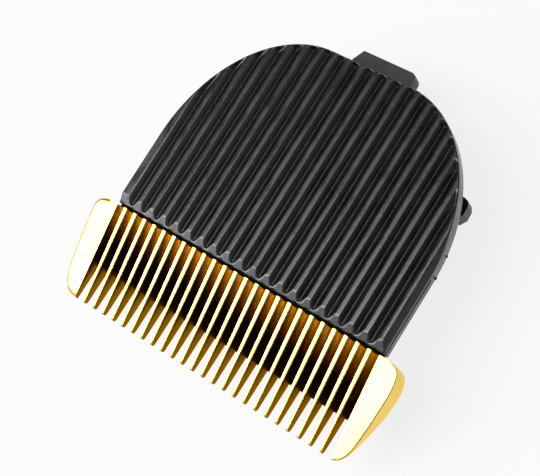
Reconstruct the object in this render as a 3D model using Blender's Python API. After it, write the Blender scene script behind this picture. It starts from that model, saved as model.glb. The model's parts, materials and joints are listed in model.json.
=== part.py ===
"""Push-fit blade head of a hair clipper, modelled piece by piece.

The design is drawn in millimetres in its own axes: x runs along the row of teeth, y runs from the
tips (negative) to the rear tongue (positive) with y = 0 at the front ends of the cover's grooves,
and z is measured from the crests of the cover's ribs, negative downwards. place_point() turns that
into metres with the origin under the middle of the head, on the surface it stands on.
"""
import math

import bmesh
import bpy
from mathutils import Vector

MM = 0.001

# Whole head
HEIGHT = 10.6            # rib crests above the surface that the head stands on
TIP_Y = -13.0            # tips of the fixed teeth
TONGUE_Y = 30.75         # rear end of the tongue
CENTRE_Y = (TIP_Y + TONGUE_Y) / 2
CLEAR = 0.3              # gap left between pieces that touch

# Ribbed cover
COVER_HALF = 19.9
COVER_REAR = 28.2
COVER_CORNER = (14.4, 18.7)   # half-axes of the rear corners, along x and y
COVER_FRONT = -0.3
COVER_THICK = 1.35
COVER_SKIRT = 2.3         # depth of the wall round the edge of the cover
SKIRT_WALL = 1.0
COVER_BEVEL = 1.15       # length of the sloping front edge
COVER_BEVEL_DROP = 0.7
GROOVES = 19
GROOVE_PITCH = 1.995
GROOVE_WIDTH = 1.4
GROOVE_DEPTH = 0.62
RIM = 0.35               # plain rim left round the rear ends of the grooves

# Fixed blade
BLADE_HALF = 23.0
TEETH = 24
TOOTH_PITCH = 1.595
GAPS = TEETH + 1
GAP_ROOT = 0.95
GAP_TIP = 1.2
TAPER = math.tan(math.radians(15.6))
BLADE_ROOT = COVER_FRONT - CLEAR
ROOT_TOP = -0.15         # top of the blade where it meets the cover
CUT_PLANE = -4.3         # face that the moving blade runs against
FLANGE_TOP = -(COVER_THICK + CLEAR)
FLANGE_BOTTOM = FLANGE_TOP - 1.2
FLANGE_HALF = 17.3
FLANGE_REAR = 9.0
RELIEF_START = -6.0      # underside is ground away behind this line
RELIEF_END = -1.4
FLOOR_END = -4.6         # gaps go right through in front of this line
FLOOR_ROOT = -1.57
FLOOR_DEEP = -3.45

# Moving blade
MOVING_TIP = -8.35
MOVING_ROOT = -4.4
MOVING_BACK = -1.0
MOVING_HALF = 19.9
MOVING_TOOTH = 1.08
MOVING_TOOTH_TIP = 0.92
MOVING_TOP = CUT_PLANE - 0.25
MOVING_BOTTOM = MOVING_TOP - 1.3
TAB_HALF = 7.5
TAB_REAR = 7.0

# Chassis
DECK_TOP = FLANGE_TOP
DECK_BOTTOM = DECK_TOP - 1.5
DECK_FRONT = 9.4
WALL_OUT = 15.8
WALL = 2.0
WALL_FRONT = 1.0
WALL_REAR = 25.4
WALL_CORNER = (12.8, 12.8)
TONGUE_HALF = 4.3
TONGUE_TOP = -3.1
TONGUE_BOTTOM = -4.9
WINDOW_FRONT = 13.0
WINDOW_REAR = 21.6

# Adjusting slide
TRAVEL = 3.8             # fore and aft travel that changes the cutting length
SLIDE_TOP = -5.4
SLIDE_BOTTOM = -7.6
BAR_FRONT = 17.3
BAR_REAR = 20.5
EAR_OUT = 17.5
ARM_IN = 9.6
ARM_OUT = 13.4
ARM_FRONT = 6.0
POST_X = 11.5
POST_Y = 10.5
POST_RADIUS = 1.15
POST_BOTTOM = -10.45
NOTCHES = 5
DETENT_Y = 17.6

# Carrier and drive yoke
CARRIER_HALF = 7.2
CARRIER_TOP = MOVING_BOTTOM - CLEAR
CARRIER_BOTTOM = CARRIER_TOP - 1.7
PRONG_IN = 3.4
PRONG_OUT = 5.4
PRONG_REAR = 15.0
YOKE_IN = 2.4
YOKE_OUT = PRONG_IN - CLEAR
YOKE_TOP = -5.4
YOKE_BOTTOM = -9.8

# Springs
WIRE = 0.3
COIL_RADIUS = 1.6
COIL_TURNS = 2
COIL_PITCH = 0.68
COIL_TOP = SLIDE_BOTTOM - CLEAR - WIRE

# Fasteners: x, y of the right-hand one of each pair
BLADE_SCREW = (14.2, 6.0)
RAIL_SCREW = (10.2, 3.0)
COVER_SCREW = (10.5, 13.0)
REAR_SCREW = (0.0, 21.5)
DETENT_SCREW = (0.0, 12.2)
CARRIER_PIN = (5.0, 2.5)
SHANK = 0.7


def place_point(point):
    """Design millimetres to world metres."""
    x, y, z = point
    return Vector((x, y - CENTRE_Y, z + HEIGHT)) * MM


def clear_scene():
    for item in list(bpy.data.objects):
        bpy.data.objects.remove(item, do_unlink=True)


def material(name, colour, roughness, metallic=0.0):
    made = bpy.data.materials.new(name)
    made.use_nodes = True
    shader = made.node_tree.nodes["Principled BSDF"]
    shader.inputs["Base Color"].default_value = (*colour, 1.0)
    shader.inputs["Roughness"].default_value = roughness
    shader.inputs["Metallic"].default_value = metallic
    return made


def solid(name, points, faces):
    """A closed object from design points, with its faces turned outwards."""
    mesh = bpy.data.meshes.new(name)
    mesh.from_pydata([place_point(p) for p in points], [], faces)
    shape = bmesh.new()
    shape.from_mesh(mesh)
    bmesh.ops.recalc_face_normals(shape, faces=shape.faces)
    shape.to_mesh(mesh)
    shape.free()
    made = bpy.data.objects.new(name, mesh)
    bpy.context.scene.collection.objects.link(made)
    return made


def loft(name, rings):
    """A solid through rings of equal size, closed by a face at each end."""
    count = len(rings[0])
    points = [p for ring in rings for p in ring]
    faces = [list(range(count)), list(range(len(points) - count, len(points)))]
    for start in range(0, len(points) - count, count):
        for i in range(count):
            j = (i + 1) % count
            faces.append([start + i, start + j, start + count + j, start + count + i])
    return solid(name, points, faces)


def prism(name, outline, bottom, top):
    """An outline in x and y, raised from bottom to top."""
    return loft(name, [[(x, y, z) for x, y in outline] for z in (bottom, top)])


def side_prism(name, profile, half):
    """A profile in y and z, run from -half to half along x."""
    return loft(name, [[(x, y, z) for y, z in profile] for x in (-half, half)])


def block(name, x_range, y_range, z_range):
    outline = [(x_range[0], y_range[0]), (x_range[1], y_range[0]),
               (x_range[1], y_range[1]), (x_range[0], y_range[1])]
    return prism(name, outline, *z_range)


def disc(name, centre, radius, bottom, top, sides=20):
    turns = [2 * math.pi * i / sides for i in range(sides)]
    outline = [(centre[0] + radius * math.cos(a), centre[1] + radius * math.sin(a)) for a in turns]
    return prism(name, outline, bottom, top)


def combine(target, tools, operation):
    """Joins or cuts target with each tool, and removes the tools."""
    for tool in tools:
        step = target.modifiers.new("step", 'BOOLEAN')
        step.operation = operation
        step.object = tool
        graph = bpy.context.evaluated_depsgraph_get()
        result = bpy.data.meshes.new_from_object(target.evaluated_get(graph))
        target.modifiers.clear()
        old = target.data
        target.data = result
        bpy.data.meshes.remove(old)
        bpy.data.objects.remove(tool, do_unlink=True)
    target.data.name = target.name
    return target


def join(target, *tools):
    return combine(target, tools, 'UNION')


def cut(target, *tools):
    return combine(target, tools, 'DIFFERENCE')


def finish(piece, look, smooth_angle=None):
    piece.data.materials.clear()
    piece.data.materials.append(look)
    if smooth_angle:
        piece.data.shade_smooth()
        piece.data.set_sharp_from_angle(angle=math.radians(smooth_angle))
    return piece


def d_outline(half, rear, corner, front, steps=14):
    """Straight sides and a rounded rear: the shape of the cover and of what lies under it."""
    centre_x = half - corner[0]
    centre_y = rear - corner[1]
    right = []
    for i in range(steps + 1):
        turn = math.pi / 2 * i / steps
        right.append((centre_x + corner[0] * math.cos(turn), centre_y + corner[1] * math.sin(turn)))
    left = [(-x, y) for x, y in reversed(right)]
    return [(half, front)] + right + left + [(-half, front)]


def inset_outline(inset, front):
    """The cover's outline moved inwards."""
    corner = (COVER_CORNER[0] - inset, COVER_CORNER[1] - inset)
    return d_outline(COVER_HALF - inset, COVER_REAR - inset, corner, front)


def cover_edge(x):
    """The y of the cover's rear edge at a distance x from its middle."""
    reach = max(abs(x) - (COVER_HALF - COVER_CORNER[0]), 0.0) / COVER_CORNER[0]
    return COVER_REAR - COVER_CORNER[1] * (1.0 - math.sqrt(max(1.0 - reach ** 2, 0.0)))


def groove(index):
    """One round-bottomed groove with round ends, as a cutter."""
    x = (index - (GROOVES - 1) / 2) * GROOVE_PITCH
    half = GROOVE_WIDTH / 2
    front = 0.0
    rear = cover_edge(abs(x) + half * 0.7) - RIM
    rings = []
    ends = [(0.04, 0.35), (0.28, 0.8), (0.75, 1.0)]
    stations = [(front + a, s) for a, s in ends] + [(rear - a, s) for a, s in reversed(ends)]
    for y, scale in stations:
        ring = [(x + half * scale, y, 0.4), (x - half * scale, y, 0.4)]
        for i in range(7):
            turn = math.pi - math.pi * i / 6
            ring.append((x + half * scale * math.cos(turn), y, -GROOVE_DEPTH * scale * math.sin(turn)))
        rings.append(ring)
    return loft("groove", rings)


def make_cover(look):
    cover = prism("ribbed_cover", inset_outline(0.0, COVER_FRONT), -COVER_SKIRT, 0.0)
    cut(cover, prism("inside", inset_outline(SKIRT_WALL, COVER_FRONT - 1.0),
                     -COVER_SKIRT - 1.0, -COVER_THICK))
    bevel = side_prism("bevel", [(COVER_FRONT - 0.5, 0.5), (COVER_FRONT + COVER_BEVEL, 0.5),
                                 (COVER_FRONT + COVER_BEVEL, 0.0),
                                 (COVER_FRONT, -COVER_BEVEL_DROP),
                                 (COVER_FRONT - 0.5, -COVER_BEVEL_DROP)], COVER_HALF + 1)
    cut(cover, bevel, *[groove(i) for i in range(GROOVES)])
    for x, y in [COVER_SCREW, (-COVER_SCREW[0], COVER_SCREW[1]), REAR_SCREW]:
        join(cover, disc("boss", (x, y), 2.0, -2.35, -1.2))
        cut(cover, disc("pilot", (x, y), 1.0, -3.0, -1.1, 12))
    return finish(cover, look)


def blade_outline():
    """Plan of the fixed blade's toothed part: rounded rear corners, sides that close towards the tips."""
    right = [(BLADE_HALF - 1.7, BLADE_ROOT), (BLADE_HALF - 0.75, BLADE_ROOT - 0.3),
             (BLADE_HALF - 0.2, BLADE_ROOT - 0.9), (BLADE_HALF, BLADE_ROOT - 1.8),
             (BLADE_HALF - 0.1, -6.2), (BLADE_HALF - 0.35, -9.8), (BLADE_HALF - 0.65, -11.2),
             (BLADE_HALF - 1.2, -12.3), (BLADE_HALF - 2.1, TIP_Y + 0.1), (BLADE_HALF - 3.1, TIP_Y)]
    return right + [(-x, y) for x, y in reversed(right)]


def tooth_gap(index):
    """The space between two teeth: a ramped floor at the root, open right through further out."""
    x = (index - (GAPS - 1) / 2) * TOOTH_PITCH
    profile = [(BLADE_ROOT + 0.5, 1.0), (BLADE_ROOT + 0.5, FLOOR_ROOT), (BLADE_ROOT, FLOOR_ROOT),
               (FLOOR_END, FLOOR_DEEP), (FLOOR_END, CUT_PLANE - 1.0), (TIP_Y - 1.0, CUT_PLANE - 1.0),
               (TIP_Y - 1.0, 1.0)]
    run = BLADE_ROOT - TIP_Y
    rings = []
    for side in (-1, 1):
        ring = []
        for y, z in profile:
            width = GAP_ROOT + (GAP_TIP - GAP_ROOT) * (BLADE_ROOT - y) / run
            ring.append((x + side * width / 2, y, z))
        rings.append(ring)
    return loft("gap", rings)


def make_fixed_blade(look):
    tip_top = ROOT_TOP - TAPER * (BLADE_ROOT - TIP_Y)
    wedge = side_prism("fixed_blade", [(BLADE_ROOT + 0.2, ROOT_TOP + 0.2 * TAPER),
                                       (TIP_Y - 0.2, tip_top - 0.2 * TAPER),
                                       (TIP_Y - 0.2, CUT_PLANE), (RELIEF_START, CUT_PLANE),
                                       (RELIEF_END, FLANGE_BOTTOM),
                                       (BLADE_ROOT + 0.2, FLANGE_BOTTOM)], BLADE_HALF + 1)
    plan = prism("plan", blade_outline(), CUT_PLANE - 1, 1.0)
    combine(wedge, [plan], 'INTERSECT')
    join(wedge, block("flange", (-FLANGE_HALF, FLANGE_HALF), (BLADE_ROOT - 0.5, FLANGE_REAR),
                      (FLANGE_BOTTOM, FLANGE_TOP)))
    cut(wedge, *[tooth_gap(i) for i in range(GAPS)])
    for x, y in (BLADE_SCREW, RAIL_SCREW):
        for side in (-1, 1):
            cut(wedge, disc("through", (side * x, y), SHANK + CLEAR, -4.0, 0.0, 16),
                disc("sink", (side * x, y), 1.9, FLANGE_TOP - 0.9, 0.0))
    return finish(wedge, look)


def comb_outline():
    """Plan of the moving blade: its teeth stand in the gaps of the fixed blade."""
    points = [(MOVING_HALF, MOVING_BACK), (TAB_HALF, MOVING_BACK), (TAB_HALF, TAB_REAR - 1.0),
              (TAB_HALF - 1.0, TAB_REAR)]
    outline = points + [(-x, y) for x, y in reversed(points)]
    for i in range(GAPS):
        x = (i - (GAPS - 1) / 2) * TOOTH_PITCH
        outline += [(x - MOVING_TOOTH / 2, MOVING_ROOT), (x - MOVING_TOOTH_TIP / 2, MOVING_TIP),
                    (x + MOVING_TOOTH_TIP / 2, MOVING_TIP), (x + MOVING_TOOTH / 2, MOVING_ROOT)]
    return outline


def make_moving_blade(look):
    outline = comb_outline()
    outline.insert(8, (-MOVING_HALF, MOVING_ROOT))
    outline.append((MOVING_HALF, MOVING_ROOT))
    blade = prism("moving_blade", outline, MOVING_BOTTOM, MOVING_TOP)
    for side in (-1, 1):
        cut(blade, disc("hole", (side * CARRIER_PIN[0], CARRIER_PIN[1]), 1.1,
                        MOVING_BOTTOM - 1, MOVING_TOP + 1, 16))
    return finish(blade, look)


def make_guide_rail(look):
    rail = block("guide_rail", (-12.0, 12.0), (1.5, 4.5), (CUT_PLANE, FLANGE_BOTTOM - CLEAR))
    for side in (-1, 1):
        cut(rail, disc("pilot", (side * RAIL_SCREW[0], RAIL_SCREW[1]), 1.0, -6.0, 0.0, 16))
    return finish(rail, look)


def make_chassis(look):
    ring = prism("chassis", d_outline(WALL_OUT, WALL_REAR, WALL_CORNER, WALL_FRONT), -HEIGHT, DECK_BOTTOM)
    inner_corner = (WALL_CORNER[0] - WALL, WALL_CORNER[1] - WALL)
    cut(ring, prism("inside", d_outline(WALL_OUT - WALL, WALL_REAR - WALL, inner_corner, -2.0),
                    -HEIGHT - 1, 0.0))
    deck = prism("deck", inset_outline(SKIRT_WALL + CLEAR, DECK_FRONT), DECK_BOTTOM - 0.2, DECK_TOP)
    tongue = prism("tongue", [(TONGUE_HALF, 24.0), (TONGUE_HALF, TONGUE_Y - 0.7),
                              (TONGUE_HALF - 0.2, TONGUE_Y - 0.25), (TONGUE_HALF - 0.7, TONGUE_Y),
                              (-TONGUE_HALF + 0.75, TONGUE_Y), (-TONGUE_HALF, TONGUE_Y - 1.5),
                              (-TONGUE_HALF, 24.0)], TONGUE_BOTTOM, TONGUE_TOP)
    root = block("root", (-TONGUE_HALF - 0.1, TONGUE_HALF + 0.1), (24.2, COVER_REAR + 0.3),
                 (TONGUE_TOP - 0.4, TONGUE_TOP + 0.15))
    join(ring, deck, tongue, root)
    for side in (-1, 1):
        edges = sorted((side * 12.4, side * (WALL_OUT - 0.2)))
        join(ring, block("seat", edges, (3.5, 8.5), (-5.1, FLANGE_BOTTOM - CLEAR - 0.001)))
        cut(ring, disc("pilot", (side * BLADE_SCREW[0], BLADE_SCREW[1]), 1.0, -6.0, 0.0, 16))
        reach = sorted((side * 5.0, side * 17.0))
        cut(ring, block("window", reach, (WINDOW_FRONT, WINDOW_REAR), (-8.0, -5.1)))
    for x, y in [COVER_SCREW, (-COVER_SCREW[0], COVER_SCREW[1]), REAR_SCREW]:
        cut(ring, disc("well", (x, y), 2.4, -2.65, 0.0), disc("hole", (x, y), 1.0, -5.0, 0.0, 16))
    cut(ring, disc("detent_hole", DETENT_SCREW, 1.0, -5.0, 0.0, 16))
    return finish(ring, look)


def ear_bar_outline():
    """Cross-bar of the slide with a rounded ear at each end."""
    right = [(EAR_OUT - 1.6, BAR_FRONT), (EAR_OUT - 0.5, BAR_FRONT + 0.5), (EAR_OUT, BAR_FRONT + 1.3),
             (EAR_OUT - 0.05, BAR_REAR - 0.8), (EAR_OUT - 0.4, BAR_REAR - 0.2), (EAR_OUT - 1.0, BAR_REAR)]
    return right + [(-x, y) for x, y in reversed(right)]


def make_adjust_slide(look):
    slide = prism("adjust_slide", ear_bar_outline(), SLIDE_BOTTOM, SLIDE_TOP)
    join(slide, block("middle", (-3.0, 3.0), (16.5, 22.0), (SLIDE_BOTTOM, SLIDE_TOP)))
    for side in (-1, 1):
        edges = sorted((side * ARM_IN, side * ARM_OUT))
        join(slide, block("arm", edges, (ARM_FRONT, BAR_FRONT + 0.5), (SLIDE_BOTTOM, SLIDE_TOP)),
             disc("post", (side * POST_X, POST_Y), POST_RADIUS, POST_BOTTOM, SLIDE_BOTTOM + 0.4))
    step = TRAVEL / (NOTCHES - 1)
    for i in range(NOTCHES):
        y = DETENT_Y + i * step
        cut(slide, side_prism("notch", [(y - 0.35, SLIDE_TOP + 0.1), (y, SLIDE_TOP - 0.3),
                                        (y + 0.35, SLIDE_TOP + 0.1)], 2.2))
    return finish(slide, look)


def make_carrier(look):
    carrier = block("blade_carrier", (-CARRIER_HALF, CARRIER_HALF), (-0.5, 7.9),
                    (CARRIER_BOTTOM, CARRIER_TOP))
    for side in (-1, 1):
        edges = sorted((side * PRONG_IN, side * PRONG_OUT))
        join(carrier, block("prong", edges, (7.4, PRONG_REAR), (CARRIER_BOTTOM, CARRIER_TOP + 0.8)))
        cut(carrier, disc("hole", (side * CARRIER_PIN[0], CARRIER_PIN[1]), 1.1, -12.0, 0.0, 16))
    return finish(carrier, look)


def make_yoke(look):
    front = 8.2
    yoke = block("drive_yoke", (-YOKE_OUT, YOKE_OUT), (front, PRONG_REAR - 0.3), (YOKE_BOTTOM, YOKE_TOP))
    cut(yoke, block("slot", (-YOKE_IN, YOKE_IN), (front + 0.8, PRONG_REAR + 1), (-12.0, 0.0)))
    return finish(yoke, look)


def spring_path(side):
    """Centre line of a wire spring: rear leg, coil round the post, front leg onto the carrier."""
    path = [(side * 12.2, 15.5, COIL_TOP), (side * 12.6, 13.2, COIL_TOP)]
    steps = 14
    start = math.radians(20)
    for i in range(COIL_TURNS * steps + 1):
        turn = start - 2 * math.pi * i / steps
        z = COIL_TOP - COIL_PITCH * i / steps
        path.append((side * (POST_X + COIL_RADIUS * math.cos(turn)),
                     POST_Y + COIL_RADIUS * math.sin(turn), z))
    last = path[-1]
    lean = CARRIER_BOTTOM - CLEAR - WIRE
    path += [(side * 13.2, 9.8, last[2]), (side * 12.6, 8.6, last[2])]
    path += [(side * 9.0, 6.6, lean - 0.1), (side * 5.9, 5.5, lean)]
    return [Vector(p) for p in path]


def tube(name, path, radius, sides=6):
    """A round wire along a path, with its section carried from point to point without twisting."""
    rings = []
    normal = Vector((0, 0, 1))
    for i, point in enumerate(path):
        ahead = path[min(i + 1, len(path) - 1)] - path[max(i - 1, 0)]
        ahead.normalize()
        normal = (normal - ahead * normal.dot(ahead)).normalized()
        across = ahead.cross(normal)
        ring = []
        for k in range(sides):
            turn = 2 * math.pi * k / sides
            ring.append(tuple(point + radius * (normal * math.cos(turn) + across * math.sin(turn))))
        rings.append(ring)
    return loft(name, rings)


def make_screw(name, centre, head_radius, head, shank_end, look):
    """A screw with a flat slotted head; head is its (bearing, outer) heights."""
    bearing, outer = head
    low, high = sorted((bearing, outer))
    screw = disc(name, centre, head_radius, low, high, 18)
    join(screw, disc("shank", centre, SHANK, *sorted((shank_end, (bearing + outer) / 2)), 12))
    inward = 1 if outer < bearing else -1
    slot = sorted((outer + inward * 0.25, outer - inward))
    cut(screw, block("slot", (centre[0] - head_radius, centre[0] + head_radius),
                     (centre[1] - 0.2, centre[1] + 0.2), slot))
    return finish(screw, look, 30)


def make_fasteners(steel):
    """Returns the fasteners that stay with the chassis."""
    for side, label in ((-1, "left"), (1, "right")):
        make_screw("blade_screw_" + label, (side * BLADE_SCREW[0], BLADE_SCREW[1]), 1.55,
                   (FLANGE_TOP - 0.6, FLANGE_TOP - 0.05), -4.9, steel)
        make_screw("rail_screw_" + label, (side * RAIL_SCREW[0], RAIL_SCREW[1]), 1.55,
                   (FLANGE_TOP - 0.6, FLANGE_TOP - 0.05), -4.8, steel)
        make_screw("cover_screw_" + label, (side * COVER_SCREW[0], COVER_SCREW[1]), 1.7,
                   (DECK_BOTTOM - CLEAR - 0.2, -4.5), -1.5, steel)
    make_screw("cover_screw_rear", REAR_SCREW, 1.7, (DECK_BOTTOM - CLEAR - 0.2, -4.5), -1.5, steel)
    make_screw("detent_screw", DETENT_SCREW, 1.5, (-4.15, -4.7), -1.95, steel)


def make_detent(look):
    """Bent leaf that clicks into the slide's notches."""
    line = [(10.8, -3.75), (15.8, -3.75), (DETENT_Y, -4.95), (18.8, -4.45)]
    profile = line + [(y, z + 0.3) for y, z in reversed(line)]
    leaf = side_prism("detent_spring", profile, 1.8)
    cut(leaf, disc("hole", DETENT_SCREW, 1.0, -5.0, -2.0, 16))
    return finish(leaf, look)


def make_retainer(name, side, look):
    centre = (side * POST_X, POST_Y)
    ring = disc(name, centre, 2.0, -10.35, -10.05)
    cut(ring, disc("hole", centre, POST_RADIUS + CLEAR, -11.0, -9.0))
    return finish(ring, look, 30)


def make_pin(name, side, look):
    centre = (side * CARRIER_PIN[0], CARRIER_PIN[1])
    head_top = CARRIER_BOTTOM - CLEAR
    pin = disc(name, centre, 1.5, head_top - 0.4, head_top, 18)
    join(pin, disc("shank", centre, 0.8, head_top - 0.1, MOVING_TOP - 0.1, 14))
    return finish(pin, look, 30)


def hang_on(name, point, pieces):
    """Puts moving pieces on an empty that stands on their joint's axis."""
    empty = bpy.data.objects.new(name, None)
    empty.location = place_point(point)
    bpy.context.scene.collection.objects.link(empty)
    for piece in pieces:
        for vertex in piece.data.vertices:
            vertex.co -= empty.location
        piece.parent = empty
    return empty


def build():
    clear_scene()
    black = material("black_abs", (0.028, 0.028, 0.03), 0.55)
    frame = material("chassis_abs", (0.035, 0.035, 0.037), 0.5)
    gold = material("titanium_nitride", (0.83, 0.6, 0.2), 0.22, 1.0)
    ceramic = material("black_ceramic", (0.02, 0.02, 0.022), 0.3)
    nylon = material("natural_nylon", (0.75, 0.73, 0.66), 0.5)
    steel = material("steel", (0.6, 0.6, 0.6), 0.3, 1.0)

    make_cover(black)
    make_chassis(frame)
    make_fixed_blade(gold)
    make_guide_rail(steel)
    make_fasteners(steel)
    make_detent(steel)

    slide_parts = [make_adjust_slide(frame)]
    cutter_parts = [make_moving_blade(ceramic), make_carrier(frame), make_yoke(nylon)]
    for side, label in ((-1, "left"), (1, "right")):
        slide_parts.append(finish(tube("spring_" + label, spring_path(side), WIRE), steel, 60))
        slide_parts.append(make_retainer("spring_retainer_" + label, side, steel))
        cutter_parts.append(make_pin("carrier_pin_" + label, side, steel))
    hang_on("slide_axis", (0.0, (BAR_FRONT + BAR_REAR) / 2, (SLIDE_TOP + SLIDE_BOTTOM) / 2), slide_parts)
    hang_on("stroke_axis", (0.0, 0.0, CUT_PLANE), cutter_parts)


build()
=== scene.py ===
import json
import math

import bmesh
import bpy
from mathutils import Matrix, Vector


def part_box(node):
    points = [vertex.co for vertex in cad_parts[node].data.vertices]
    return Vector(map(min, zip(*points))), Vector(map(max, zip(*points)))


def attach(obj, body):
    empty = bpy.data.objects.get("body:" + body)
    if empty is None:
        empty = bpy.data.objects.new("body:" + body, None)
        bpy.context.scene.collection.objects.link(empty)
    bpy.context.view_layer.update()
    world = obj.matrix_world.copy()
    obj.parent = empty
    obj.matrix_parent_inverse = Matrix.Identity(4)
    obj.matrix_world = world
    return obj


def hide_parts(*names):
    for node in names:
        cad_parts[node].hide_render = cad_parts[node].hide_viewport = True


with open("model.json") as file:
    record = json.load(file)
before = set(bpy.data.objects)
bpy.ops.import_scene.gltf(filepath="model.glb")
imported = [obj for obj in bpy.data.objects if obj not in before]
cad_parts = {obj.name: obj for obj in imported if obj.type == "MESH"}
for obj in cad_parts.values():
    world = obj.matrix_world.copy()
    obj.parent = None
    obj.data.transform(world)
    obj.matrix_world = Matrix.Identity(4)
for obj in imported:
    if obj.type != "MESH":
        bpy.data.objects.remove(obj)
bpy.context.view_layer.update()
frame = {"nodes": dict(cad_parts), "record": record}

# Design millimetres: x along the teeth, y from the tips to the tongue with 0 just behind the cover's
# front edge, z up with 0 at the rib crests. The CAD boxes say where that frame stands.
MM = 0.001
CLEAR = 0.3
cover_low, cover_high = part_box("ribbed_cover")
blade_low, blade_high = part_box("fixed_blade")
ORIGIN = Vector((0.0, cover_low.y + CLEAR * MM, cover_high.z))

COVER_HALF = cover_high.x / MM
COVER_FRONT = -CLEAR
COVER_REAR = (cover_high.y - ORIGIN.y) / MM
COVER_CORNER = (14.4, 18.7)
COVER_THICK = 1.35
COVER_SKIRT = 2.3
SKIRT_WALL = 1.0
COVER_ROUND = 0.16
FRONT_ROUND = 0.12
FOOT_ROUND = 0.12
FOOT_SHRINK = 0.9955
BEVEL_LENGTH = 1.15
BEVEL_DROP = 0.7
GROOVES = 19
GROOVE_PITCH = 1.995
GROOVE_HALF = 0.7
GROOVE_DEPTH = 0.66
GROOVE_LEAN = -0.24
BOTTOM_ROUND = 0.09
CREST_ROUND = 0.03
RIM = 0.08
END_SLOPE = 0.36
MOUTH = -0.25
MOUTH_SLOPE = 0.46
SIDE_CREST = 19.2
SIDE_FALL = 0.42

# Where the cover's columns and rows lie, as parts of each stretch or as distances from an edge.
LEFT_STEPS = (1.0, 0.93, 0.8, 0.6, 0.4, 0.22, 0.12, 0.05)
RIGHT_STEPS = (0.03, 0.1, 0.2, 0.4, 0.6, 0.8, 0.93, 1.0)
CREST_STEPS = (0.12, 0.3, 0.5, 0.7, 0.88)
BORDER_STEPS = (0.88, 0.74, 0.6, 0.48, 0.37, 0.27, 0.19, 0.12, 0.06, 0.0)
FRONT_STEPS = (0.0, 0.03, 0.07, 0.12, 0.2, 0.3, 0.4, 0.5, 0.6, 0.7, 0.8, 0.9, 1.0, 1.15, 1.35, 1.8, 3.0)
REAR_STEPS = [4.6 - 0.13 * k for k in range(34)] + [0.25, 0.18, 0.12, 0.07, 0.03, 0.0]
OUTLINE_STEPS = 32

# Skirt: (inset, z). Lip: (y from the front edge, z). Bosses round the screws: (radius, z).
SKIRT_PROFILE = ((0.02, -0.6), (0.0, -0.9), (0.0, -COVER_SKIRT + FOOT_ROUND), (0.04, -COVER_SKIRT + 0.04),
                 (FOOT_ROUND, -COVER_SKIRT), (SKIRT_WALL, -COVER_SKIRT), (SKIRT_WALL, -COVER_THICK + 0.3),
                 (SKIRT_WALL, -0.9))
SKIRT_FRONT = COVER_FRONT + 0.06
LIP_PROFILE = ((0.3, -1.62), (-0.29, -1.62), (-0.29, -1.4), (-0.24, -1.34), (0.3, -1.3))
LIP_HALF = COVER_HALF - 0.03
BOSS_PLACES = ((10.5, 13.0), (-10.5, 13.0), (0.0, 21.5))
BOSS_PROFILE = ((1.0, -1.3), (2.0, -1.3), (2.0, -2.25), (1.9, -2.35), (1.05, -2.35))
BOSS_SIDES = 28
NUB_PLACES = ((19.85, 10.07), (19.6, 12.84))
NUB_RADII = (0.16, 0.22, 0.16)
NUB_SIDES = 10

BLADE_HALF = blade_high.x / MM
TIP_Y = (blade_low.y - ORIGIN.y) / MM
BLADE_ROOT = COVER_FRONT - CLEAR
CUT_PLANE = (blade_low.z - ORIGIN.z) / MM
TEETH = 24
TOOTH_PITCH = 1.595
GAP_ROOT = 0.95
GAP_TIP = 1.2
TAPER = math.tan(math.radians(15.6))
ROOT_TOP = -0.15
FLANGE_TOP = -1.65
FLANGE_BOTTOM = -2.85
FLANGE_HALF = 17.3
FLANGE_REAR = 9.0
RELIEF_START = -6.0
RELIEF_END = -1.4
FLOOR_END = -4.6
FLOOR_ROOT = -1.57
FLOOR_DEEP = -3.45
FLOOR_SAG = 0.22
FLOOR_STEPS = 8
TOOTH_STEPS = (0.0, 1.0, 2.5, 4.0, 5.4, 7.0, 9.0, 11.0)
TIP_STEPS = ((0.5, 1.0), (0.22, 0.93), (0.08, 0.78), (0.0, 0.5))
TOOTH_ROUND = 0.13
TURN_STEPS = (0.0, 0.35, 0.7, 1.0)


def place_point(point):
    return ORIGIN + Vector(point) * MM


def mesh_object(name, points, faces, sharp):
    """An object from design points, faces turned outwards, smooth apart from edges over `sharp` degrees."""
    mesh = bpy.data.meshes.new(name)
    mesh.from_pydata([place_point(p) for p in points], [], faces)
    shape = bmesh.new()
    shape.from_mesh(mesh)
    bmesh.ops.recalc_face_normals(shape, faces=shape.faces)
    shape.to_mesh(mesh)
    shape.free()
    mesh.shade_smooth()
    mesh.set_sharp_from_angle(angle=math.radians(sharp))
    made = bpy.data.objects.new(name, mesh)
    bpy.context.scene.collection.objects.link(made)
    return made


def loft_data(rings, closed=True):
    """Points and faces of a skin through rings of equal size. A closed one has a face at each end."""
    count = len(rings[0])
    points = [p for ring in rings for p in ring]
    faces = []
    if closed:
        faces += [list(range(count)), list(range(len(points) - count, len(points)))]
    for start in range(0, len(points) - count, count):
        for i in range(count):
            j = (i + 1) % count
            faces.append([start + i, start + j, start + count + j, start + count + i])
    return points, faces


def merge_data(*parts):
    """Several sets of points and faces as one."""
    points, faces = [], []
    for part_points, part_faces in parts:
        shift = len(points)
        points += part_points
        faces += [[i + shift for i in face] for face in part_faces]
    return points, faces


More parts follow.
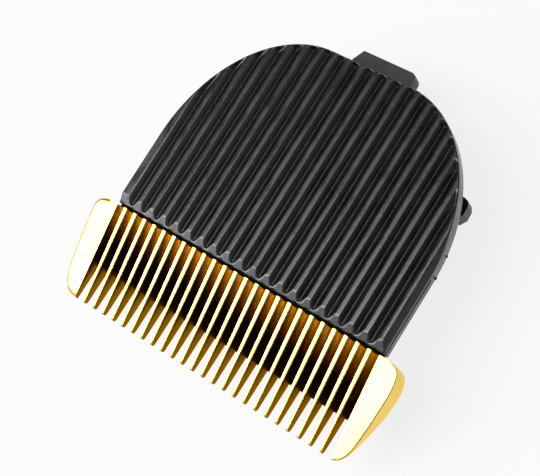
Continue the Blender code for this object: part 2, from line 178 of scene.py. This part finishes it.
def relief_data(rows, top, bottom):
    """A plate whose top follows top(x, y), over rows of (x, y) from one side to the other.

    Each function in bottom moves the plate's edge down by one more ring, and a face closes the last.
    """
    width = len(rows[0])
    points = [(x, y, top(x, y)) for row in rows for x, y in row]
    faces = []
    for r in range(len(rows) - 1):
        for i in range(width - 1):
            a = r * width + i
            faces.append([a, a + 1, a + width + 1, a + width])
    last = (len(rows) - 1) * width
    loop = list(range(width))
    loop += [r * width + width - 1 for r in range(1, len(rows))]
    loop += [last + i for i in range(width - 2, -1, -1)]
    loop += [r * width for r in range(len(rows) - 2, 0, -1)]
    previous = loop
    for level in bottom:
        start = len(points)
        points += [level(*points[index][:2]) for index in loop]
        ring = list(range(start, len(points)))
        for k in range(len(loop)):
            n = (k + 1) % len(loop)
            faces.append([previous[k], previous[n], ring[n], ring[k]])
        previous = ring
    faces.append(previous)
    return points, faces


# ---------------------------------------------------------------- ribbed cover

def cover_edge(x):
    """The y of the cover's rear edge at x."""
    reach = max(abs(x) - (COVER_HALF - COVER_CORNER[0]), 0.0) / COVER_CORNER[0]
    return COVER_REAR - COVER_CORNER[1] * (1.0 - math.sqrt(max(1.0 - reach ** 2, 0.0)))


def inside_cover(x, y):
    """How far a point lies inside the cover's side and rear edge."""
    across = abs(x) - (COVER_HALF - COVER_CORNER[0])
    along = y - (COVER_REAR - COVER_CORNER[1])
    if along <= 0.0:
        return COVER_CORNER[0] - across
    if across <= 0.0:
        return COVER_CORNER[1] - along
    across, along = across / COVER_CORNER[0], along / COVER_CORNER[1]
    reach = math.hypot(across, along)
    return (1.0 - reach) * reach / math.hypot(across / COVER_CORNER[0], along / COVER_CORNER[1])


def edge_drop(distance, radius):
    """How much a rounded edge has fallen at a distance from its foot."""
    if distance >= radius:
        return 0.0
    return radius - math.sqrt(max(radius ** 2 - (radius - max(distance, 0.0)) ** 2, 0.0))


def rounded_slope(part):
    """0 at the bottom of a groove, 1 at its edge: straight sides that meet in a small radius."""
    return (math.hypot(part, BOTTOM_ROUND) - BOTTOM_ROUND) / (math.hypot(1.0, BOTTOM_ROUND) - BOTTOM_ROUND)


def groove_depth(x, y):
    """Depth of the V-shaped grooves, with round ends and softened crest edges."""
    index = min(max(round(x / GROOVE_PITCH + (GROOVES - 1) / 2), 0), GROOVES - 1)
    centre = (index - (GROOVES - 1) / 2) * GROOVE_PITCH
    across = (x - centre) / GROOVE_HALF - GROOVE_LEAN
    across /= (1.0 - GROOVE_LEAN) if across > 0 else (-1.0 - GROOVE_LEAN)
    along = max(1.0 - (y - MOUTH) / MOUTH_SLOPE, 1.0 - (inside_cover(x, y) - RIM) / END_SLOPE, 0.0)
    spread = (rounded_slope(abs(across)) ** 2 + rounded_slope(along) ** 2) ** 0.5
    free = GROOVE_DEPTH * (1.0 - spread)
    return max((free + math.hypot(free, CREST_ROUND)) / 2 - CREST_ROUND * 0.04, 0.0)


def side_fall(x):
    """The right-hand border slopes down like half a groove."""
    return SIDE_FALL * max(x - SIDE_CREST, 0.0) / (COVER_HALF - SIDE_CREST)


def cover_top(x, y):
    bevel = min((y - COVER_FRONT) / BEVEL_LENGTH - 1.0, 0.0) * BEVEL_DROP
    corner = edge_drop(y - COVER_FRONT, FRONT_ROUND)
    height = min(bevel, -groove_depth(x, y), -side_fall(x))
    return height - edge_drop(inside_cover(x, y), COVER_ROUND) - corner


def cover_columns():
    """The x of each column: close together across the grooves and round the crests."""
    bottom = GROOVE_LEAN * GROOVE_HALF
    crest = GROOVE_PITCH - 2 * GROOVE_HALF
    columns = []
    for i in range(GROOVES):
        centre = (i - (GROOVES - 1) / 2) * GROOVE_PITCH
        columns += [centre + bottom - (GROOVE_HALF + bottom) * part for part in LEFT_STEPS]
        columns += [centre + bottom + (GROOVE_HALF - bottom) * part for part in RIGHT_STEPS]
        if i < GROOVES - 1:
            columns += [centre + GROOVE_HALF + crest * part for part in CREST_STEPS]
    outermost = math.acos((columns[-1] - COVER_HALF + COVER_CORNER[0]) / COVER_CORNER[0])
    side = [COVER_HALF + COVER_CORNER[0] * (math.cos(outermost * part) - 1.0) for part in BORDER_STEPS]
    return [-x for x in reversed(side)] + columns + side


def cover_rows():
    columns = cover_columns()
    rows = [[(x, COVER_FRONT + step) for x in columns] for step in FRONT_STEPS]
    return rows + [[(x, cover_edge(x) - step) for x in columns] for step in REAR_STEPS]


def d_outline(inset, front):
    """The cover's outline moved inwards: straight sides and a rounded rear."""
    right = []
    for i in range(OUTLINE_STEPS + 1):
        turn = math.pi / 2 * i / OUTLINE_STEPS
        right.append((COVER_HALF - COVER_CORNER[0] + (COVER_CORNER[0] - inset) * math.cos(turn),
                      COVER_REAR - COVER_CORNER[1] + (COVER_CORNER[1] - inset) * math.sin(turn)))
    left = [(-x, y) for x, y in reversed(right)]
    return [(COVER_HALF - inset, front)] + right + left + [(inset - COVER_HALF, front)]


def skirt_data():
    """The wall that hangs down round the sides and rear of the cover, open towards the teeth."""
    rings = [[(x, y, z) for x, y in d_outline(inset, SKIRT_FRONT)] for inset, z in SKIRT_PROFILE]
    points = [p for ring in rings for p in ring]
    count = len(rings[0])
    last = len(points) - count
    faces = []
    for start in range(0, last, count):
        for i in range(start, start + count - 1):
            faces.append([i, i + 1, i + count + 1, i + count])
    for i in range(count - 1):
        faces.append([last + i, last + i + 1, i + 1, i])
    starts = range(0, len(points), count)
    faces.append(list(starts))
    faces.append([start + count - 1 for start in reversed(starts)])
    return points, faces


def foot_edge(x, y):
    """The plate's underside is a little smaller, which breaks its lower edge."""
    return x * FOOT_SHRINK, COVER_FRONT + (y - COVER_FRONT) * FOOT_SHRINK + 0.03, -COVER_THICK


def make_cover():
    wall = [lambda x, y: (x, y, -COVER_THICK + FOOT_ROUND), foot_edge]
    parts = [relief_data(cover_rows(), cover_top, wall), skirt_data()]
    lip = [[(x, COVER_FRONT + y, z) for y, z in LIP_PROFILE] for x in (-LIP_HALF, LIP_HALF)]
    parts.append(loft_data(lip))
    parts += [ring_data(place, BOSS_PROFILE) for place in BOSS_PLACES]
    parts += [ball_data((x, y, -COVER_SKIRT + FOOT_ROUND), NUB_RADII) for x, y in NUB_PLACES]
    piece = mesh_object("ribbed_cover_skin", *merge_data(*parts), sharp=50.0)
    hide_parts("ribbed_cover")
    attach(piece, "head")
    return piece


def ring_data(centre, profile):
    """A closed profile of (radius, z) turned round a vertical axis."""
    rings = []
    for i in range(BOSS_SIDES):
        turn = 2 * math.pi * i / BOSS_SIDES
        across, along = math.cos(turn), math.sin(turn)
        rings.append([(centre[0] + r * across, centre[1] + r * along, z) for r, z in profile])
    points, faces = loft_data(rings, closed=False)
    count, last = len(profile), (BOSS_SIDES - 1) * len(profile)
    for i in range(count):
        j = (i + 1) % count
        faces.append([last + i, last + j, j, i])
    return points, faces


def ball_data(centre, radii):
    """A small bump, as an ellipsoid."""
    rings = []
    for i in range(1, NUB_SIDES):
        tilt = math.pi * i / NUB_SIDES
        ring = []
        for k in range(NUB_SIDES):
            turn = 2 * math.pi * k / NUB_SIDES
            ring.append((centre[0] + radii[0] * math.sin(tilt) * math.cos(turn),
                         centre[1] + radii[1] * math.sin(tilt) * math.sin(turn),
                         centre[2] + radii[2] * math.cos(tilt)))
        rings.append(ring)
    return loft_data(rings)


# ---------------------------------------------------------------- fixed blade

def blade_top(y):
    return ROOT_TOP + TAPER * (y - BLADE_ROOT)


def blade_bottom(y):
    """Underside: flat where the moving blade runs, ground away behind it."""
    if y <= RELIEF_START:
        return CUT_PLANE
    if y >= RELIEF_END:
        return FLANGE_BOTTOM
    return CUT_PLANE + (FLANGE_BOTTOM - CUT_PLANE) * (y - RELIEF_START) / (RELIEF_END - RELIEF_START)


def gap_width(y):
    return GAP_ROOT + (GAP_TIP - GAP_ROOT) * (BLADE_ROOT - y) / (BLADE_ROOT - TIP_Y)


def tooth_data(centre):
    """One narrow tooth: a tapering bar with rounded top edges and a rounded tip."""
    stations = [(BLADE_ROOT - step, 1.0) for step in TOOTH_STEPS]
    stations += [(TIP_Y + left, size) for left, size in TIP_STEPS]
    rings = []
    for y, size in stations:
        half = (TOOTH_PITCH - gap_width(y)) / 2 * size
        top, low = blade_top(y), blade_bottom(y)
        middle, tall = (top + low) / 2, (top - low) / 2 * size
        top, low = middle + tall, middle - tall
        radius = min(TOOTH_ROUND, half * 0.6)
        ring = [(centre - half, y, low), (centre + half, y, low)]
        for side, steps in ((1, TURN_STEPS), (-1, TURN_STEPS[::-1])):
            for part in steps:
                turn = math.pi / 2 * part
                x = centre + side * (half - radius * (1 - math.cos(turn)))
                ring.append((x, y, top - radius * (1 - math.sin(turn))))
        rings.append(ring)
    return loft_data(rings)


# End teeth. The outlines are drawn on the right, from the outer root corner to the tip. The right tooth's
# side stands out at the foot by END_DRAFT, and leans back and thins towards the tip over END_FADE.
END_LEFT = ((-1.7, 0.0), (-0.75, -0.3), (-0.2, -0.9), (0.0, -1.8), (-0.1, -5.6), (-0.35, -9.2),
            (-0.65, -10.6), (-1.2, -11.7), (-2.1, -12.3), (-3.1, -12.4))
END_RIGHT = ((-1.95, 0.0), (-1.05, -0.3), (-0.5, -0.9), (-0.28, -1.9), (-0.28, -3.4), (-0.52, -5.5),
             (-0.82, -7.7), (-1.3, -10.3), (-1.8, -11.5), (-2.5, -12.2), (-3.1, -12.4))
END_ROUND_LEFT = 0.5
END_ROUND_RIGHT = 0.16
END_DRAFT = 0.25
END_LEAN = 0.25
END_LIFT = 0.4
END_FADE = 10.0
INNER_ROUND = 0.09
INNER_STEPS = (0.0, 0.015, 0.04, 0.2, 0.5, 0.8)
OUTER_STEPS = (0.5, 0.36, 0.24, 0.15, 0.09, 0.05, 0.02, 0.0)
OUTER_SHARE = 0.19
CURVE_STEPS = 6


def spline_point(before, a, b, after, t):
    """A point between a and b on the smooth curve through all four."""
    return 0.5 * (2 * a + (b - before) * t + (2 * before - 5 * a + 4 * b - after) * t * t
                  + (3 * a - before - 3 * b + after) * t ** 3)


def end_outline(places, limit):
    """Outer edge of an end tooth: a smooth curve through its places, no wider than limit."""
    knots = [Vector((BLADE_HALF + dx, BLADE_ROOT + dy)) for dx, dy in places]
    curve = []
    for i in range(len(knots) - 1):
        before, after = knots[max(i - 1, 0)], knots[min(i + 2, len(knots) - 1)]
        stretch = (before, knots[i], knots[i + 1], after)
        curve += [spline_point(*stretch, k / CURVE_STEPS) for k in range(CURVE_STEPS)]
    curve.append(knots[-1])
    return [Vector((min(point.x, limit), point.y)) for point in curve]


def distance_to(curve, x, y):
    point = Vector((x, y))
    gaps = []
    for a, b in zip(curve, curve[1:]):
        along = b - a
        part = min(max((point - a).dot(along) / along.length_squared, 0.0), 1.0)
        gaps.append((point - a - along * part).length)
    return min(gaps)


def end_inner(y):
    """Where an end tooth begins, beside the last gap."""
    return (TEETH / 2) * TOOTH_PITCH + gap_width(y) / 2


def end_tooth_data(side):
    """One wide end tooth, rounded over along its outer, rear and front edges."""
    leans = side > 0
    if leans:
        curve, radius = end_outline(END_RIGHT, BLADE_HALF - END_DRAFT), END_ROUND_RIGHT
    else:
        curve, radius = end_outline(END_LEFT, BLADE_HALF), END_ROUND_LEFT
    rows, reach = [], {}
    for edge in curve:
        y = min(edge.y, BLADE_ROOT)
        inner = end_inner(y)
        width = edge.x - inner
        reach[y] = edge.x
        row = [inner + width * part for part in INNER_STEPS]
        row += [edge.x - min(back, width * OUTER_SHARE) for back in OUTER_STEPS]
        rows.append([(side * x, y) for x in row])

    def top(x, y):
        drop = edge_drop(distance_to(curve, abs(x), y), radius)
        return blade_top(y) - drop - edge_drop(abs(x) - end_inner(y), INNER_ROUND)

    def foot(x, y):
        if not leans:
            return x, y, blade_bottom(y)
        near_tip = max(1.0 - (y - TIP_Y) / END_FADE, 0.0)
        draft = END_DRAFT - (END_DRAFT + END_LEAN) * near_tip
        part = (x - end_inner(y)) / (reach[y] - end_inner(y))
        return x + draft * part, y, blade_bottom(y) + END_LIFT * near_tip * part

    return relief_data(rows, top, [foot])


def web_data():
    """The body between the roots of the teeth, with the ramped floor of the gaps, and the flange behind."""
    floor = []
    for k in range(FLOOR_STEPS + 1):
        part = k / FLOOR_STEPS
        floor.append((BLADE_ROOT + (FLOOR_END - BLADE_ROOT) * part,
                      FLOOR_ROOT + (FLOOR_DEEP - FLOOR_ROOT) * part - FLOOR_SAG * math.sin(math.pi * part)))
    under = [(FLOOR_END, blade_bottom(FLOOR_END)), (RELIEF_END, FLANGE_BOTTOM), (BLADE_ROOT, FLANGE_BOTTOM)]
    half = (TEETH / 2) * TOOTH_PITCH + GAP_ROOT
    web = loft_data([[(x, y, z) for y, z in floor + under] for x in (-half, half)])
    flange = [(FLANGE_REAR, FLANGE_TOP), (BLADE_ROOT, FLANGE_TOP), (BLADE_ROOT, FLANGE_BOTTOM),
              (FLANGE_REAR, FLANGE_BOTTOM)]
    return web, loft_data([[(x, y, z) for y, z in flange] for x in (-FLANGE_HALF, FLANGE_HALF)])


def make_fixed_blade():
    parts = [tooth_data((k - (TEETH - 1) / 2) * TOOTH_PITCH) for k in range(TEETH)]
    parts += [end_tooth_data(-1), end_tooth_data(1), *web_data()]
    piece = mesh_object("fixed_blade_skin", *merge_data(*parts), sharp=32.0)
    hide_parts("fixed_blade")
    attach(piece, "head")
    return piece


# ---------------------------------------------------------------- moving blade

moving_low, moving_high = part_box("moving_blade")
MOVING_TIP = (moving_low.y - ORIGIN.y) / MM
TAB_REAR = (moving_high.y - ORIGIN.y) / MM
MOVING_HALF = moving_high.x / MM
MOVING_BOTTOM = (moving_low.z - ORIGIN.z) / MM
MOVING_TOP = (moving_high.z - ORIGIN.z) / MM
MOVING_ROOT = -4.4
MOVING_BACK = -1.0
MOVING_TOOTH = 0.77
MOVING_TOOTH_TIP = 0.755
MOVING_THINNING = 0.75
MOVING_STEPS = (-0.1, 0.2, 0.5, 0.8, 0.97, 1.0)
TAB_HALF = 7.5
TAB_CORNER = 1.0
TAB_OVERLAP = 1.0
EDGE = 0.06


def moving_tooth_data(centre):
    """A cutting tooth: wider than the gap above it, thinned from below towards its tip."""
    rings = []
    reach = MOVING_ROOT - MOVING_TIP
    for part in MOVING_STEPS:
        y = MOVING_ROOT - reach * part
        half = MOVING_TOOTH + (MOVING_TOOTH_TIP - MOVING_TOOTH) * max(part, 0.0)
        half -= EDGE if part == 1.0 else 0.0
        low = MOVING_BOTTOM + MOVING_THINNING * max(part, 0.0)
        rings.append([(centre - half, y, low), (centre + half, y, low), (centre + half, y, MOVING_TOP),
                      (centre - half, y, MOVING_TOP)])
    return loft_data(rings)


def plate_data(outline, low, high):
    """A flat plate with its upper and lower edges broken."""
    middle = [sum(p[k] for p in outline) / len(outline) for k in (0, 1)]
    rings = []
    for z, inset in ((low, EDGE), (low + EDGE, 0.0), (high - EDGE, 0.0), (high, EDGE)):
        ring = []
        for x, y in outline:
            ring.append((x - math.copysign(inset, x - middle[0]),
                         y - math.copysign(inset, y - middle[1]), z))
        rings.append(ring)
    return loft_data(rings)


def make_moving_blade():
    gaps = TEETH + 1
    parts = [moving_tooth_data((k - (gaps - 1) / 2) * TOOTH_PITCH) for k in range(gaps)]
    body = [(MOVING_HALF, MOVING_ROOT), (MOVING_HALF, MOVING_BACK), (-MOVING_HALF, MOVING_BACK),
            (-MOVING_HALF, MOVING_ROOT)]
    tab = [(TAB_HALF, MOVING_BACK - TAB_OVERLAP), (TAB_HALF, TAB_REAR - TAB_CORNER),
           (TAB_HALF - TAB_CORNER, TAB_REAR), (TAB_CORNER - TAB_HALF, TAB_REAR),
           (-TAB_HALF, TAB_REAR - TAB_CORNER), (-TAB_HALF, MOVING_BACK - TAB_OVERLAP)]
    parts += [plate_data(outline, MOVING_BOTTOM, MOVING_TOP) for outline in (body, tab)]
    piece = mesh_object("moving_blade_skin", *merge_data(*parts), sharp=30.0)
    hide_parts("moving_blade")
    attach(piece, "cutter")
    return piece


# ---------------------------------------------------------------- materials

# Noise scales are cycles per metre, and bump distances are metres.
CLOUD_SCALE = 260.0
STREAK_SCALE = 1100.0
PORE_SCALE = 1500.0
GRAIN_SCALE = 9000.0
STREAK_STRETCH = (1.0, 0.3, 1.0)
PORE_DEPTH = 0.00006
GRAIN_DEPTH = 0.00004
GRIND_SCALE = 1500.0
GRIND_STRETCH = (9.0, 0.35, 9.0)
GRIND_DEPTH = 0.00002
COATING_CLOUD_SCALE = 120.0
COATING_MOTTLE = 0.06
CERAMIC_SCALE = 1400.0
CERAMIC_STRETCH = (6.0, 0.5, 6.0)
STEEL_SCALE = 2200.0
SURFACE_DEPTH = 0.00003


def shader_of(name):
    made = bpy.data.materials.new(name)
    made.use_nodes = True
    return made, made.node_tree, made.node_tree.nodes["Principled BSDF"]


def add(tree, kind, **inputs):
    node = tree.nodes.new(kind)
    for key, value in inputs.items():
        node.inputs[key.replace("_", " ")].default_value = value
    return node


def object_place(tree, stretch=(1.0, 1.0, 1.0)):
    """Object coordinates, so that the detail stays on the piece when it moves."""
    place = tree.nodes.new("ShaderNodeTexCoord")
    mapping = add(tree, "ShaderNodeMapping", Scale=stretch)
    tree.links.new(place.outputs["Object"], mapping.inputs["Vector"])
    return mapping.outputs["Vector"]


def noise(tree, vector, scale, detail=3.0):
    node = add(tree, "ShaderNodeTexNoise", Scale=scale, Detail=detail, Roughness=0.55)
    tree.links.new(vector, node.inputs["Vector"])
    return node.outputs["Fac"]


def grinding_lines(tree):
    return noise(tree, object_place(tree, GRIND_STRETCH), GRIND_SCALE)


def ramp(tree, value, stops):
    """Maps a value through (place, tone) stops, where a tone is a grey level or a colour."""
    node = tree.nodes.new("ShaderNodeValToRGB")
    ends = node.color_ramp.elements
    while len(ends) < len(stops):
        ends.new(0.5)
    for end, (place, colour) in zip(ends, stops):
        end.position = place
        end.color = (*colour, 1.0) if isinstance(colour, tuple) else (colour, colour, colour, 1.0)
    tree.links.new(value, node.inputs["Fac"])
    return node.outputs["Color"]


def bump(tree, shader, height, strength, distance, after=None):
    node = add(tree, "ShaderNodeBump", Strength=strength, Distance=distance)
    tree.links.new(height, node.inputs["Height"])
    if after:
        tree.links.new(after, node.inputs["Normal"])
    tree.links.new(node.outputs["Normal"], shader.inputs["Normal"])
    return node.outputs["Normal"]


def moulded_plastic(name, dark, light, rough_low, rough_high, grain):
    """Black moulded plastic: fine spark-eroded grain, faint flow marks and slightly uneven gloss."""
    made, tree, shader = shader_of(name)
    vector = object_place(tree)
    cloud = noise(tree, vector, CLOUD_SCALE, 4.0)
    tree.links.new(ramp(tree, cloud, [(0.3, dark), (0.7, light)]), shader.inputs["Base Color"])
    streaks = noise(tree, object_place(tree, STREAK_STRETCH), STREAK_SCALE, 4.0)
    tree.links.new(ramp(tree, streaks, [(0.35, rough_low), (0.65, rough_high)]), shader.inputs["Roughness"])
    fine = bump(tree, shader, noise(tree, vector, GRAIN_SCALE, 2.0), grain, GRAIN_DEPTH)
    bump(tree, shader, noise(tree, vector, PORE_SCALE), grain * 0.6, PORE_DEPTH, fine)
    return made


def gold_coating(name, deep, pale, smooth, rough):
    """Titanium nitride over ground steel: grinding lines along the teeth and a faint change of tone."""
    made, tree, shader = shader_of(name)
    lines = grinding_lines(tree)
    cloud = noise(tree, object_place(tree), COATING_CLOUD_SCALE, 2.0)
    tree.links.new(ramp(tree, cloud, [(0.3, deep), (0.7, pale)]), shader.inputs["Base Color"])
    shader.inputs["Metallic"].default_value = 1.0
    tree.links.new(ramp(tree, lines, [(0.25, smooth), (0.8, rough)]), shader.inputs["Roughness"])
    bump(tree, shader, lines, 0.25, GRIND_DEPTH)
    return made


def painted_shade_coating(name, stops):
    """The same coating with painted shade for the gaps: its tone changes along the teeth, at the y of each
    stop.
    """
    made, tree, shader = shader_of(name)
    place = tree.nodes.new("ShaderNodeTexCoord")
    split = tree.nodes.new("ShaderNodeSeparateXYZ")
    tree.links.new(place.outputs["Object"], split.inputs["Vector"])
    run = tree.nodes.new("ShaderNodeMapRange")
    run.inputs["From Min"].default_value = place_point((0.0, TIP_Y, 0.0)).y
    run.inputs["From Max"].default_value = place_point((0.0, BLADE_ROOT, 0.0)).y
    tree.links.new(split.outputs["Y"], run.inputs["Value"])
    lines = grinding_lines(tree)
    mixed = tree.nodes.new("ShaderNodeMath")
    mixed.operation = 'MULTIPLY_ADD'
    mixed.inputs[1].default_value = COATING_MOTTLE
    tree.links.new(lines, mixed.inputs[0])
    tree.links.new(run.outputs["Result"], mixed.inputs[2])
    places = [((y - TIP_Y) / (BLADE_ROOT - TIP_Y), colour) for y, colour in stops]
    tree.links.new(ramp(tree, mixed.outputs["Value"], places), shader.inputs["Base Color"])
    shader.inputs["Metallic"].default_value = 1.0
    shader.inputs["Specular Tint"].default_value = (0.75, 0.45, 0.1, 1.0)
    tree.links.new(ramp(tree, lines, [(0.25, 0.24), (0.8, 0.36)]), shader.inputs["Roughness"])
    bump(tree, shader, lines, 0.25, GRIND_DEPTH)
    return made


def paint_gap_shade(piece, flank_shade_look, floor_shade_look):
    """The gaps between the teeth, cut by a wheel, get painted shade: their flanks and floors take the
    darker shaded coating.
    """
    piece.data.materials.append(flank_shade_look)
    piece.data.materials.append(floor_shade_look)
    last_flank = BLADE_HALF - 3.0
    for face in piece.data.polygons:
        x, y, z = (face.center - ORIGIN) / MM
        is_flank = abs(face.normal.x) > 0.75 and abs(x) < last_flank
        is_floor = face.normal.z > 0.5 and y < BLADE_ROOT and z < blade_top(y) - 1.0
        if is_flank:
            face.material_index = 1
        elif is_floor:
            face.material_index = 2


def black_ceramic(name):
    """Ground black zirconia with a soft polish."""
    made, tree, shader = shader_of(name)
    lines = noise(tree, object_place(tree, CERAMIC_STRETCH), CERAMIC_SCALE)
    tree.links.new(ramp(tree, lines, [(0.3, (0.012, 0.009, 0.012)), (0.75, (0.03, 0.024, 0.028))]),
                   shader.inputs["Base Color"])
    tree.links.new(ramp(tree, lines, [(0.3, 0.22), (0.7, 0.34)]), shader.inputs["Roughness"])
    bump(tree, shader, lines, 0.2, GRIND_DEPTH)
    return made


def bright_steel(name):
    made, tree, shader = shader_of(name)
    spots = noise(tree, object_place(tree), STEEL_SCALE, 4.0)
    tree.links.new(ramp(tree, spots, [(0.3, (0.5, 0.5, 0.5)), (0.7, (0.66, 0.66, 0.65))]),
                   shader.inputs["Base Color"])
    tree.links.new(ramp(tree, spots, [(0.3, 0.24), (0.7, 0.4)]), shader.inputs["Roughness"])
    shader.inputs["Metallic"].default_value = 1.0
    bump(tree, shader, spots, 0.15, SURFACE_DEPTH)
    return made


def natural_nylon(name):
    made, tree, shader = shader_of(name)
    vector = object_place(tree)
    tone = ramp(tree, noise(tree, vector, 300.0), [(0.3, (0.62, 0.6, 0.52)), (0.7, (0.74, 0.72, 0.64))])
    gloss = ramp(tree, noise(tree, vector, 1600.0), [(0.3, 0.4), (0.7, 0.52)])
    tree.links.new(tone, shader.inputs["Base Color"])
    tree.links.new(gloss, shader.inputs["Roughness"])
    shader.inputs["Subsurface Weight"].default_value = 0.15
    shader.inputs["Subsurface Scale"].default_value = 0.001
    bump(tree, shader, noise(tree, vector, 5000.0), 0.2, SURFACE_DEPTH)
    return made


def set_ior(look, value):
    look.node_tree.nodes["Principled BSDF"].inputs["IOR"].default_value = value


def paint_seam_shade(piece, look):
    """The lip in the gap between cover and blade, and the cover's front edge, get a darker, dull plastic:
    painted shade along the seam.
    """
    piece.data.materials.append(look)
    seam_rear = ORIGIN.y + (COVER_FRONT + 0.05) * MM
    for face in piece.data.polygons:
        if face.center.y < seam_rear:
            face.material_index = 1


def paint(piece, look):
    piece.data.materials.clear()
    piece.data.materials.append(look)


def soften(node, width):
    """Rounds the sharp edges of a CAD node by a modifier, without changing its mesh."""
    step = node.modifiers.new("rounded_edges", 'BEVEL')
    step.width = width * MM
    step.segments = 2
    step.limit_method = 'ANGLE'
    step.angle_limit = math.radians(30.0)
    step.use_clamp_overlap = True
    step.harden_normals = False


# ---------------------------------------------------------------- stage

FLOOR_HALF = 3.0
FLOOR_BASE = 0.09
FLOOR_GLOW = 0.82
WORLD_STRENGTH = 0.22
LIGHT_DISTANCE = 0.5

# Name, direction from the object, width and height in metres, and brightness.
SOFTBOXES = (("key_softbox", (-0.43, -0.32, 0.83), (0.3, 0.68), 7.8),
             ("right_softbox", (0.79, 0.1, 0.61), (0.45, 0.45), 0.4),
             ("front_softbox", (-0.41, -0.74, 0.53), (0.16, 0.16), 1.9))


def make_floor():
    """White paper. Most of its brightness is its own glow, so it reflects little light onto the object."""
    mesh = bpy.data.meshes.new("floor")
    corners = [(-FLOOR_HALF, -FLOOR_HALF, 0), (FLOOR_HALF, -FLOOR_HALF, 0),
               (FLOOR_HALF, FLOOR_HALF, 0), (-FLOOR_HALF, FLOOR_HALF, 0)]
    mesh.from_pydata(corners, [], [(0, 1, 2, 3)])
    floor = bpy.data.objects.new("floor", mesh)
    bpy.context.scene.collection.objects.link(floor)
    made, _, shader = shader_of("floor_paper")
    shader.inputs["Base Color"].default_value = (FLOOR_BASE, FLOOR_BASE, FLOOR_BASE, 1.0)
    shader.inputs["Roughness"].default_value = 0.9
    shader.inputs["Specular IOR Level"].default_value = 0.1
    shader.inputs["Emission Color"].default_value = (1.0, 1.0, 1.0, 1.0)
    shader.inputs["Emission Strength"].default_value = FLOOR_GLOW
    paint(floor, made)


def softbox(name, direction, size, radiance):
    """A rectangular light that faces the object; its power follows from the brightness it should show."""
    data = bpy.data.lights.new(name, 'AREA')
    data.shape = 'RECTANGLE'
    data.size, data.size_y = size
    data.energy = radiance * math.pi * size[0] * size[1]
    light = bpy.data.objects.new(name, data)
    toward = Vector(direction).normalized()
    light.location = toward * LIGHT_DISTANCE
    light.rotation_mode = 'QUATERNION'
    light.rotation_quaternion = toward.to_track_quat('Z', 'Y')
    bpy.context.scene.collection.objects.link(light)


def make_light():
    world = bpy.data.worlds.new("studio")
    bpy.context.scene.world = world
    world.use_nodes = True
    back = world.node_tree.nodes["Background"]
    back.inputs["Color"].default_value = (1.0, 1.0, 1.0, 1.0)
    back.inputs["Strength"].default_value = WORLD_STRENGTH
    for settings in SOFTBOXES:
        softbox(*settings)
    bpy.context.scene.view_settings.view_transform = 'Standard'


CAMERA_AT = Vector((71.49, -11.5, 136.89))
CAMERA_AZIMUTH = -77.04
CAMERA_ELEVATION = 62.06
CAMERA_ROLL = 46.37
CAMERA_LENS = 89.23


def make_camera():
    azimuth, elevation, roll = (math.radians(a) for a in (CAMERA_AZIMUTH, CAMERA_ELEVATION, CAMERA_ROLL))
    ahead = Vector((math.sin(azimuth) * math.cos(elevation), math.cos(azimuth) * math.cos(elevation),
                    -math.sin(elevation)))
    level_right = Vector((math.cos(azimuth), -math.sin(azimuth), 0.0))
    level_up = level_right.cross(ahead)
    up = level_up * math.cos(roll) + level_right * math.sin(roll)
    right = ahead.cross(up)
    data = bpy.data.cameras.new("camera")
    data.lens = CAMERA_LENS
    data.sensor_width = 36.0
    data.clip_start = 0.005
    camera = bpy.data.objects.new("camera", data)
    bpy.context.scene.collection.objects.link(camera)
    turn = Matrix((right, up, -ahead)).transposed()
    camera.matrix_world = Matrix.Translation(place_point(CAMERA_AT)) @ turn.to_4x4()
    bpy.context.scene.camera = camera


# ---------------------------------------------------------------- the object

# Painted shade in the gaps, as the coating's tones, each at its y. Flanks: painted shade darkest half-way
# up the gap, lighter near the root. Gap floors: painted shade darkening towards the tips.
FLANK_SHADE_TONES = [(-9.5, (0.25, 0.12, 0.01)), (-6.5, (0.13, 0.06, 0.008)),
               (-4.0, (0.2, 0.11, 0.015)), (-0.6, (0.66, 0.46, 0.11))]
GAP_FLOOR_SHADE_TONES = [(-4.6, (0.06, 0.03, 0.004)), (-2.8, (0.4, 0.25, 0.05)), (-0.8, (0.93, 0.7, 0.25))]
# Edge rounding of the CAD nodes that carry over, in millimetres.
SOFTENED = {"chassis": 0.18, "adjust_slide": 0.3, "blade_carrier": 0.15, "drive_yoke": 0.12,
            "guide_rail": 0.08}

ribbed = moulded_plastic("ribbed_black_plastic", (0.0006, 0.0005, 0.0006), (0.0012, 0.0011, 0.0012),
                         rough_low=0.2, rough_high=0.38, grain=0.25)
set_ior(ribbed, 1.6)
# Darker, dull black plastic for the seam: painted shade in the gap between cover and blade.
seam_shade = moulded_plastic("seam_painted_shade_plastic", (0.0004, 0.0004, 0.0004), (0.0008, 0.0007, 0.0008),
                       rough_low=0.7, rough_high=0.9, grain=0.2)
set_ior(seam_shade, 1.15)
framed = moulded_plastic("chassis_black_plastic", (0.006, 0.006, 0.0062), (0.011, 0.0108, 0.011),
                         rough_low=0.36, rough_high=0.46, grain=0.25)
gold = gold_coating("gold_nitride", (0.86, 0.56, 0.115), (0.93, 0.65, 0.15), smooth=0.2, rough=0.3)
# Painted shade on the flanks and floors of the gaps between the teeth, darker in the deep parts.
flank_shade = painted_shade_coating("gold_nitride_flank_painted_shade", FLANK_SHADE_TONES)
gap_floor_shade = painted_shade_coating("gold_nitride_gap_floor_painted_shade", GAP_FLOOR_SHADE_TONES)
ceramic = black_ceramic("black_zirconia")
steel = bright_steel("zinc_plated_steel")
nylon = natural_nylon("natural_nylon")

cover = make_cover()
paint(cover, ribbed)
paint_seam_shade(cover, seam_shade)
blade = make_fixed_blade()
paint(blade, gold)
paint_gap_shade(blade, flank_shade, gap_floor_shade)
paint(make_moving_blade(), ceramic)
FINISHES = {"ribbed_plastic": ribbed, "frame_plastic": framed, "gold_blade": gold,
            "black_ceramic": ceramic, "steel": steel, "nylon": nylon}
for part in frame["record"]["subparts"]:
    paint(frame["nodes"][part["node"]], FINISHES[part["material_slot"]])
for node, width in SOFTENED.items():
    soften(frame["nodes"][node], width)

make_floor()
make_light()
make_camera()
